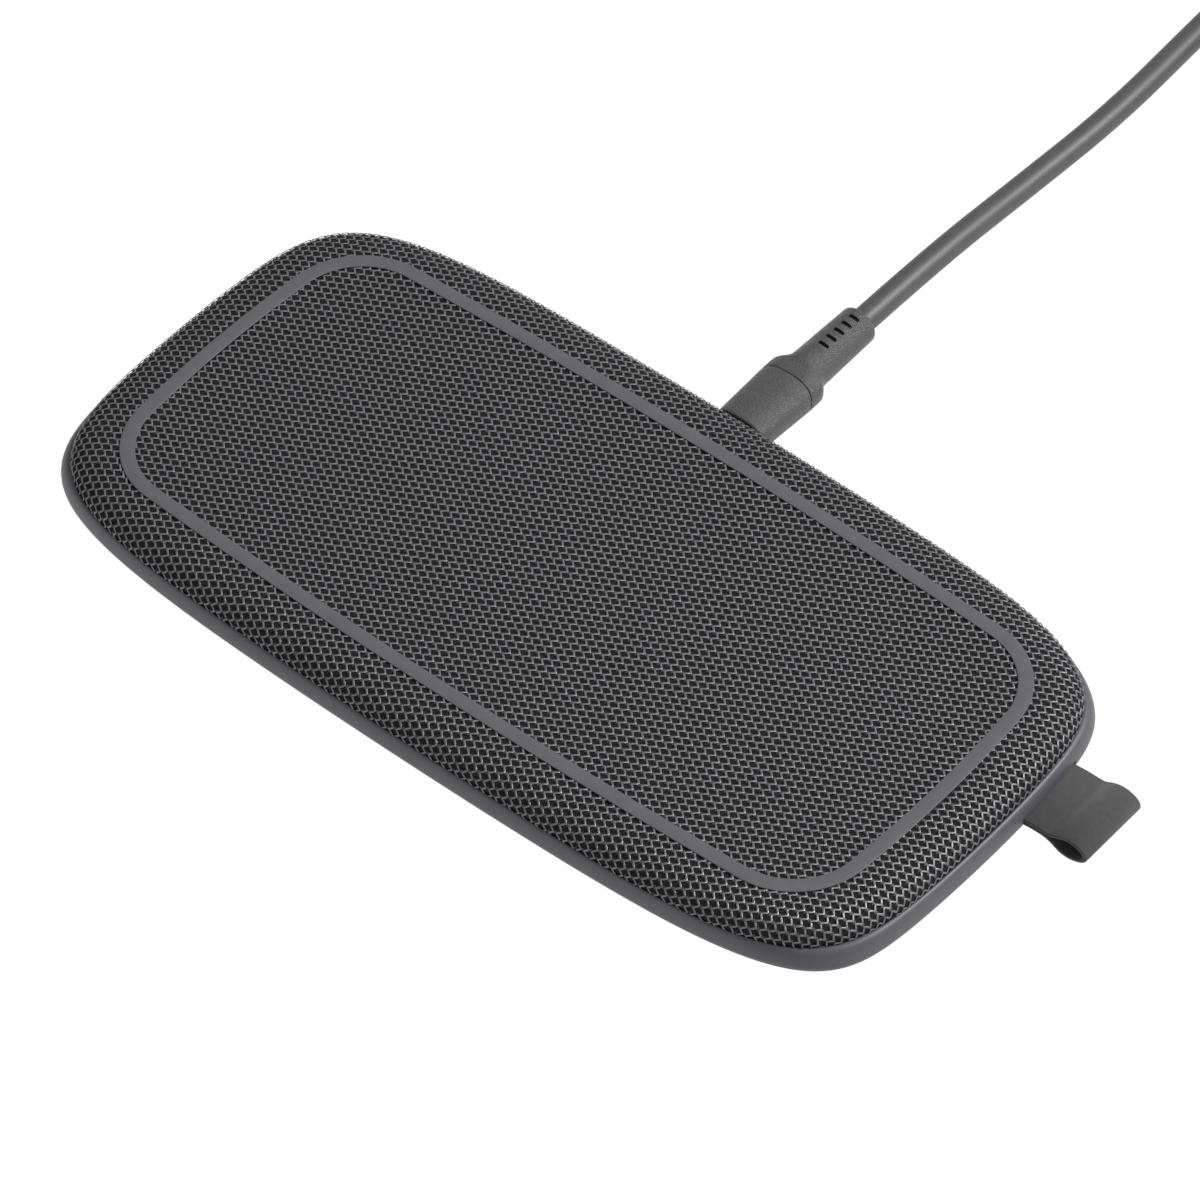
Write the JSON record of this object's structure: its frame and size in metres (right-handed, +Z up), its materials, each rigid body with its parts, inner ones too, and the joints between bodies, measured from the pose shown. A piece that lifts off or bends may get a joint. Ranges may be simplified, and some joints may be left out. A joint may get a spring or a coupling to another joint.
{
  "type": "wireless charging pad",
  "caption": "Flat rounded-rectangle wireless charging pad with woven fabric top, raised rubber ring, loop tag on one end and a plug-in USB lead wound into a coil.",
  "frame": {"origin": "on the resting plane, under the middle of the pad (the middle of the anti-slip mat's underside)", "axes": "+X along the length towards the loop tag, +Y towards the USB socket, +Z up out of the fabric top"},
  "size_m": [0.1921, 0.2831, 0.0106],
  "materials": {
    "woven_fabric": "coarse two-tone weave",
    "band_rubber": "smooth matt",
    "rim_plastic": "satin, fine grain",
    "inner_plastic": "matt",
    "mat_rubber": "matt, finely ribbed",
    "film": "clear adhesive film",
    "screw_steel": "zinc plated",
    "board": "solder mask",
    "chip_resin": "moulded resin",
    "inductor_ferrite": "pressed powder",
    "capacitor_body": "ceramic",
    "copper_wire": "lacquered stranded wire",
    "ferrite": "sintered",
    "shield": "rolled sheet",
    "plug_metal": "nickel plated",
    "contact_plastic": "moulded",
    "tag_fabric": "brushed strap",
    "overmould": "fine spark-eroded grain",
    "cable_jacket": "smooth satin",
    "tie_fabric": "hook-and-loop strap"
  },
  "bodies": {
    "pad": {"fabric_cover": "woven_fabric", "anti_slip_band": "band_rubber", "adhesive_film": "film", "top_shell": "inner_plastic", "base_shell": "rim_plastic", "anti_slip_mat": "mat_rubber", "case_screws": "screw_steel", "main_board": "board", "board_screws": "screw_steel", "control_chips": "chip_resin", "power_inductors": "inductor_ferrite", "capacitors": "capacitor_body", "thermistors": "chip_resin", "usb_socket_shell": "plug_metal", "usb_socket_tongue": "contact_plastic", "tag_loop": "tag_fabric", "tag_clamp": "inner_plastic", "left_coil": "copper_wire", "left_coil_leads": "copper_wire", "left_ferrite": "ferrite", "left_shield_plate": "shield", "left_coil_carrier": "inner_plastic", "right_coil": "copper_wire", "right_coil_leads": "copper_wire", "right_ferrite": "ferrite", "right_shield_plate": "shield", "right_coil_carrier": "inner_plastic"},
    "cable": {"plug_shell": "plug_metal", "plug_insert": "contact_plastic", "plug_housing": "overmould", "strain_relief": "overmould", "lead_tube": "cable_jacket", "lead_coil": "cable_jacket", "lead_tie": "tie_fabric", "far_plug_boot": "overmould", "far_plug_housing": "overmould", "far_plug_shell": "plug_metal", "far_plug_tongue": "contact_plastic"}
  },
  "joints": [
    {"name": "plug_slide", "type": "slide", "parent": "pad", "child": "cable", "axis": [0, 1, 0], "range_m": [0, 0.01]}
  ]
}
